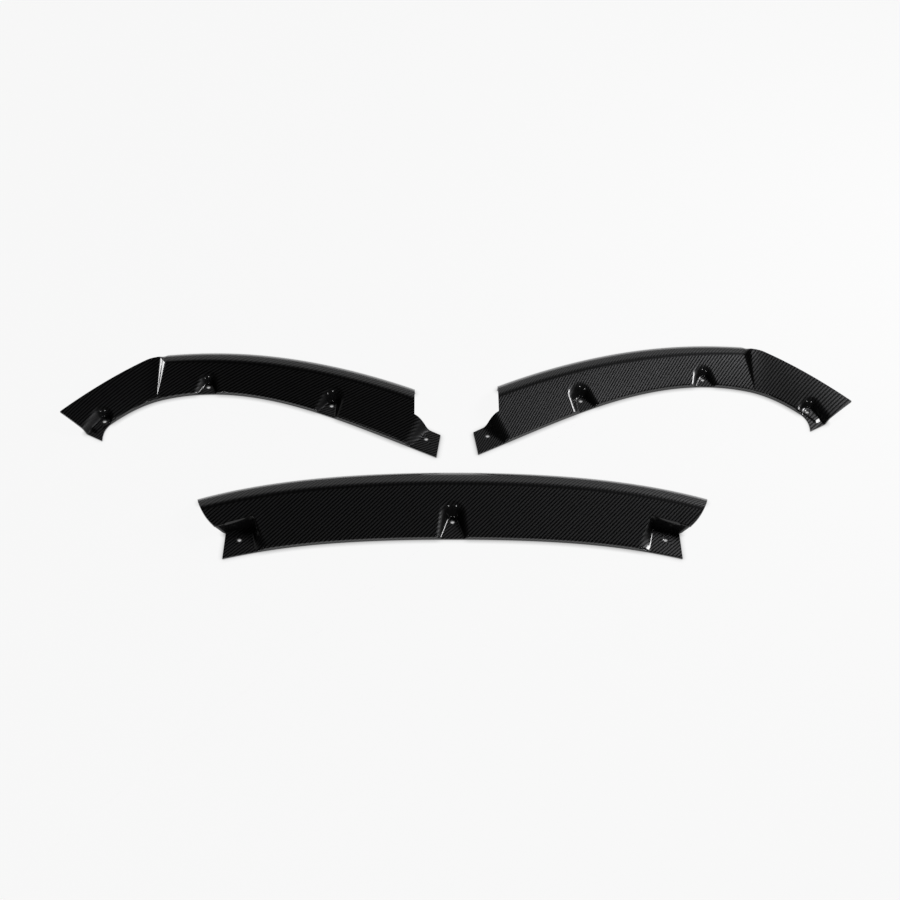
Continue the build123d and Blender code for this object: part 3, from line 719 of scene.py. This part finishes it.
def side_nose(share, inset):
    """Rolled nose along the nose part; along the blade a rounded edge and a leaning front face.

    The face reaches the ground up to BLADE_TAPER and then runs out to a narrow lip at the tip.
    """
    x = np.where(is_tab[:, None], 0, side_plan(np.ones(1))[0])
    part = np.minimum(x, NOSE_LENGTH)
    near = part / NOSE_LENGTH
    y, z, run = rolled_nose(
        side_rear(part), cubic(CREASE_CURVE, near), nose_rise(part),
        SIDE_NOSE_RADIUS - SIDE_NOSE_NARROWING * near, share[None, :], inset,
    )
    z = z - crest(1.0) * (cubic(CREASE_CURVE, near) - side_rear(part)) * (1 - share) ** 2
    edge_x = np.maximum(x, BLADE_START)
    rise, front = blade_rise(edge_x), blade_front(edge_x)
    slope = np.arctan2(rise - EDGE_HEIGHT, front - side_rear(edge_x))
    up_y, up_z = -np.sin(slope), np.cos(slope)
    out_y, out_z = math.cos(BLADE_LEAN), math.sin(BLADE_LEAN)
    bend_radius = BLADE_ROUND if inset == 0 else BLADE_INNER_ROUND
    shrink = (inset + bend_radius) / (1 + up_y * out_y + up_z * out_z)
    middle_y, middle_z = front - (up_y + out_y) * shrink, rise - (up_z + out_z) * shrink
    round_share = np.clip(share / BLADE_ROUND_ROWS, 0, 1)
    face_share = np.clip((share - BLADE_ROUND_ROWS) / (1 - BLADE_ROUND_ROWS), 0, 1)
    angle = (math.pi / 2 + slope) * (1 - round_share) + BLADE_LEAN * round_share
    bend_y, bend_z = middle_y + bend_radius * np.cos(angle), middle_z + bend_radius * np.sin(angle)
    foot_z = BLADE_TIP_FOOT * np.clip((edge_x - BLADE_TAPER) / (BLADE_TIP - BLADE_TAPER), 0, 1)
    fall = face_share * np.maximum(bend_z[:, -1:] - foot_z, BLADE_LEAST_FACE)
    bulge = BLADE_BULGE * 4 * face_share * (1 - face_share) * fall[:, -1:] / rise
    face_y = bend_y + fall * math.tan(BLADE_LEAN) + bulge * out_y
    face_z = bend_z - fall + bulge * out_z
    face_run = bend_radius * BLADE_ROUND_TURN * round_share + fall
    mix = riser_share(x, 1.0)
    end_slope = (blade_front(BLADE_TIP) - END_CORNER[1]) / (BLADE_TIP - END_CORNER[0])
    edge_slope = blade_front(BLADE_TIP) - blade_front(BLADE_TIP - 1)
    run_out = (face_y - front) / (end_slope - edge_slope)
    run_out = run_out * np.where(is_blade, np.clip(run_along, 0, 1) ** 6, 0)[:, None]
    face_y = face_y + edge_slope * run_out
    return x + run_out, y + (face_y - y) * mix, z + (face_z - z) * mix, run + (face_run - run) * mix


def cloth_slope(x, terms):
    """Slope of a cloth's bow at x: a start, plus a share of x, plus a share of its square."""
    start, growth, curl = terms
    return start + growth * x + curl * x**2


def cloth_rise(x, terms):
    """Rise of a cloth's bow from 0 to x, its slope added up: shares of x, of its square and of its cube."""
    start, growth, curl = terms
    return start * x + growth * x**2 + curl * x**3


def left_weave(x, y):
    """Cloth laid along a gentle bow: its slope goes from 0.31 at the inner end to -0.18 at the tip."""
    off_bow = y - cloth_rise(x, LEFT_RISE)
    return -x - cloth_slope(x, LEFT_SLOPE) * off_bow, off_bow * SLOPE_STRETCH


def right_weave(x, y):
    """Cloth sheared to the section's sweep: one set of tows follows a bow, the other stays nearly square.

    The bow's slope goes from 0.49 at the inner end through 0.35 half way to -0.36 at the tip; the first
    coordinate is the length along the bow.
    """
    places = np.arange(*RIGHT_STRETCH)
    lengths = np.cumsum(np.hypot(1, cloth_slope(places, RIGHT_SLOPE)))
    off_bow = y - cloth_rise(x, RIGHT_RISE)
    return np.interp(x, places, lengths) + RIGHT_LEAN * off_bow, off_bow


shells = []
for side_weave in (right_weave, left_weave):
    top, inside, cells, weave = skins(
        side_plan, side_shares, side_nose, side_height, SIDE_HOLES,
        side_weave, nose_rows, np.where(is_blade, 0, 1),
    )
    cells[:len(tab_columns), WALL_ROWS + len(lower) - 1:] = False
    # Painted shade: the weave on the blade is dimmed, darker and calmer than on the nose part.
    weave[is_blade, :, 2] *= BLADE_UNSHADED
    shells.append(shell_mesh(top, inside, cells, weave))

RIGHT_PLACE, RIGHT_TURN = (80.0, 160.0), math.radians(1.5)
points, faces, threads = shells[0]
turned_points = points.copy()
turn_x, turn_y = math.cos(RIGHT_TURN), math.sin(RIGHT_TURN)
turned_points[:, 0] = RIGHT_PLACE[0] + points[:, 0] * turn_x - points[:, 1] * turn_y
turned_points[:, 1] = RIGHT_PLACE[1] + points[:, 0] * turn_y + points[:, 1] * turn_x
right = place_shell("lip_right", turned_points, faces, threads)
right.data.materials.append(twill)
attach(right, "root")
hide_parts("right_section")

LEFT_PLACE = (-64.0, 153.0, 0.0)
points, faces, threads = shells[1]
mirrored = points * (-1, 1, 1) + LEFT_PLACE
left = place_shell("lip_left", mirrored, faces[:, ::-1], threads)
left.data.materials.append(twill)
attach(left, "root")
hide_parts("left_section")

# Floor and studio
# A pale matt table that runs past the view, lit by a bank of soft light in front of the lip under a dark
# ceiling, a soft lamp high on the right and two small lamps behind the lip, as in a small product studio.
FLOOR_REACH, FLOOR_LEVEL = 30, -0.0005


def grey(level):
    """A neutral colour of one level, opaque."""
    return (level, level, level, 1)


floor_mesh = bpy.data.meshes.new("pale_floor")
sides = ((-1, -1), (1, -1), (1, 1), (-1, 1))
corners = [(x * FLOOR_REACH, y * FLOOR_REACH, FLOOR_LEVEL) for x, y in sides]
floor_mesh.from_pydata(corners, [], [(0, 1, 2, 3)])
floor = bpy.data.objects.new("pale_floor", floor_mesh)
bpy.context.scene.collection.objects.link(floor)
pale = bpy.data.materials.new("pale_paper")
pale.use_nodes = True
paper = pale.node_tree
paper_matt = paper.nodes["Principled BSDF"]
paper_matt.inputs["Base Color"].default_value = grey(0.86)
paper_matt.inputs["Roughness"].default_value = 0.9
paper_matt.inputs["Specular IOR Level"].default_value = 0.1
glow = paper.nodes.new("ShaderNodeEmission")
glow.inputs["Color"].default_value = grey(0.962)
# Painted shadow: ambient occlusion within 9 mm dims the floor's glow under and beside the lip and inside its
# screw holes.
contact_shade = paper.nodes.new("ShaderNodeAmbientOcclusion")
contact_shade.inputs["Distance"].default_value = 0.009
paper.links.new(contact_shade.outputs["AO"], glow.inputs["Strength"])
ray = paper.nodes.new("ShaderNodeLightPath")
seen = paper.nodes.new("ShaderNodeMath")
seen.operation = "MAXIMUM"
seen_clear = paper.nodes.new("ShaderNodeMath")
seen_clear.operation = "MAXIMUM"
mix = paper.nodes.new("ShaderNodeMixShader")
share = paper.nodes.new("ShaderNodeMath")
share.operation = "MULTIPLY"
share.inputs[1].default_value = 0.96
paper.links.new(ray.outputs["Is Camera Ray"], seen.inputs[0])
paper.links.new(ray.outputs["Is Glossy Ray"], seen.inputs[1])
paper.links.new(seen.outputs[0], seen_clear.inputs[0])
paper.links.new(ray.outputs["Is Transmission Ray"], seen_clear.inputs[1])
paper.links.new(seen_clear.outputs[0], share.inputs[0])
paper.links.new(share.outputs[0], mix.inputs[0])
paper.links.new(paper_matt.outputs[0], mix.inputs[1])
paper.links.new(glow.outputs[0], mix.inputs[2])
paper.links.new(mix.outputs[0], paper.nodes["Material Output"].inputs[0])
floor_mesh.materials.append(pale)

world = bpy.data.worlds.new("studio")
bpy.context.scene.world = world
world.use_nodes = True
air = world.node_tree
sky = air.nodes["Background"]
direction = air.nodes.new("ShaderNodeTexCoord")
parts = air.nodes.new("ShaderNodeSeparateXYZ")
air.links.new(direction.outputs["Generated"], parts.inputs[0])
bands = air.nodes.new("ShaderNodeValToRGB")
bands.color_ramp.elements[0].position = 0.0
bands.color_ramp.elements[0].color = grey(0.22)
bands.color_ramp.elements[1].position = 0.80
bands.color_ramp.elements[1].color = grey(0.0)
upper_band = bands.color_ramp.elements.new(0.66)
upper_band.color = grey(0.5)
air.links.new(parts.outputs["Z"], bands.inputs[0])
facing = air.nodes.new("ShaderNodeVectorMath")
facing.operation = "DOT_PRODUCT"
facing.inputs[1].default_value = (0.3, 0.95, 0.0)
air.links.new(direction.outputs["Generated"], facing.inputs[0])
bank = air.nodes.new("ShaderNodeMapRange")
bank.interpolation_type = "SMOOTHSTEP"
bank.inputs["From Min"].default_value = -0.1
bank.inputs["From Max"].default_value = 0.6
bank.inputs["To Min"].default_value = 0.03
bank.inputs["To Max"].default_value = 1.0
air.links.new(facing.outputs["Value"], bank.inputs["Value"])
air.links.new(bank.outputs["Result"], sky.inputs["Strength"])
air.links.new(bands.outputs[0], sky.inputs["Color"])

lamps = (
    ("soft_lamp", (1.22, 0.6, 0.95), (0.25, 0.25, 0.0), 0.5, 17),
    ("small_lamp_left", (-0.75, -1.48, 1.23), (0.0, 0.1, 0.0), 0.16, 2),
    ("small_lamp_right", (0.75, -1.48, 1.23), (0.0, 0.1, 0.0), 0.16, 2),
)
for lamp_name, lamp_place, lamp_target, lamp_size, lamp_power in lamps:
    lamp_data = bpy.data.lights.new(lamp_name, "AREA")
    lamp_data.size = lamp_size
    lamp_data.energy = lamp_power
    lamp = bpy.data.objects.new(lamp_name, lamp_data)
    lamp.location = lamp_place
    lamp.rotation_euler = (Vector(lamp_target) - lamp.location).to_track_quat("-Z", "Y").to_euler()
    bpy.context.scene.collection.objects.link(lamp)

CAMERA_AIM, CAMERA_DISTANCE, CAMERA_RISE = (-0.004, 0.1513), 3.5, math.radians(52)
camera_data = bpy.data.cameras.new("camera")
camera_data.lens = 83.33
camera_data.sensor_width = 36.0
camera = bpy.data.objects.new("camera", camera_data)
camera.location = (
    CAMERA_AIM[0],
    CAMERA_AIM[1] - CAMERA_DISTANCE * math.cos(CAMERA_RISE),
    CAMERA_DISTANCE * math.sin(CAMERA_RISE),
)
camera.rotation_euler = (math.pi / 2 - CAMERA_RISE, 0, 0)
bpy.context.scene.collection.objects.link(camera)
bpy.context.scene.camera = camera
bpy.context.scene.view_settings.view_transform = "Standard"
